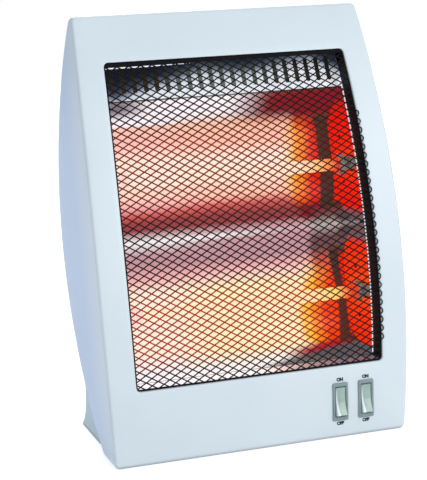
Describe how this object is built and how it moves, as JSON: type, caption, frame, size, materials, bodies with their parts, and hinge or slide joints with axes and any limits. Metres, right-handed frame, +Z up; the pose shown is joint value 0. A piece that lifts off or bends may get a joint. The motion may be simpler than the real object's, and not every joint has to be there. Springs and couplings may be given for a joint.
{
  "type": "twin-bar radiant heater",
  "caption": "Free-standing radiant heater with a curved leaning housing, mesh guard, double-trough reflector, quartz tubes and rocker switches.",
  "frame": {"origin": "on the ground, in the middle of the heater's box", "axes": "+Z up, the face looks along -Y, +X to the right of someone who looks at the face"},
  "size_m": [0.255, 0.1352, 0.343],
  "materials": {
    "front_plastic": "pale blue-grey moulded plastic with a soft gloss",
    "rear_plastic": "pale blue-grey moulded plastic with a fine texture",
    "black_wire": "black enamel",
    "mirror_sheet": "bright rolled, a little blurred",
    "polished_strip": "polished",
    "quartz": "milky quartz",
    "heating_wire": "oxidised resistance wire",
    "ceramic": "unglazed",
    "pin_metal": "drawn",
    "plated_steel": "zinc plated",
    "zinc_sheet": "galvanised sheet",
    "switch_plastic": "grey-green moulded plastic",
    "rocker_plastic": "grey-green moulded plastic, satin",
    "blade_brass": "stamped",
    "black_plastic": "moulded",
    "plunger_plastic": "moulded",
    "spring_steel": "spring wire",
    "bakelite": "pressed",
    "block_plastic": "moulded",
    "wire_cover": "smooth",
    "wire_cover_red": "smooth",
    "glass_sleeve": "braided glass sleeve",
    "dark_screw": "blackened"
  },
  "bodies": {
    "root": {"front_cover": "front_plastic", "rear_cover": "rear_plastic", "guard": "black_wire", "guard_rim": "black_wire", "reflector": "mirror_sheet", "vent_strip": "polished_strip", "upper_left_end_plate": "mirror_sheet", "upper_right_end_plate": "mirror_sheet", "lower_left_end_plate": "mirror_sheet", "lower_right_end_plate": "mirror_sheet", "upper_tube": "quartz", "lower_tube": "quartz", "upper_coil": "heating_wire", "lower_coil": "heating_wire", "upper_left_cap": "ceramic", "upper_right_cap": "ceramic", "lower_left_cap": "ceramic", "lower_right_cap": "ceramic", "lead_pins": "pin_metal", "terminal_nuts": "plated_steel", "left_bracket": "zinc_sheet", "right_bracket": "zinc_sheet", "heat_shield": "zinc_sheet", "left_switch_body": "switch_plastic", "right_switch_body": "switch_plastic", "switch_blades": "blade_brass", "tilt_switch_body": "black_plastic", "thermal_cutout": "bakelite", "terminal_block": "block_plastic", "supply_wires": "wire_cover", "switch_wires": "wire_cover_red", "tube_wires": "glass_sleeve", "cord_gland": "black_plastic", "case_screws": "dark_screw", "bracket_screws": "plated_steel"},
    "left_rocker": {"left_rocker": "rocker_plastic"},
    "right_rocker": {"right_rocker": "rocker_plastic"},
    "tilt_plunger": {"tilt_plunger": "plunger_plastic", "tilt_spring": "spring_steel"}
  },
  "joints": [
    {"name": "left_rocker_swing", "type": "hinge", "parent": "root", "child": "left_rocker", "pos_m": [0.0653, -0.06138, 0.0307], "axis": [1, 0, 0], "range_deg": [0, 20]},
    {"name": "right_rocker_swing", "type": "hinge", "parent": "root", "child": "right_rocker", "pos_m": [0.0877, -0.06138, 0.0307], "axis": [1, 0, 0], "range_deg": [0, 20]},
    {"name": "plunger_slide", "type": "slide", "parent": "root", "child": "tilt_plunger", "axis": [0, 0, 1], "range_m": [-0.005, 0], "stiffness_N_per_m": 60, "springref_m": -0.012, "deforming": ["tilt_spring"]}
  ]
}
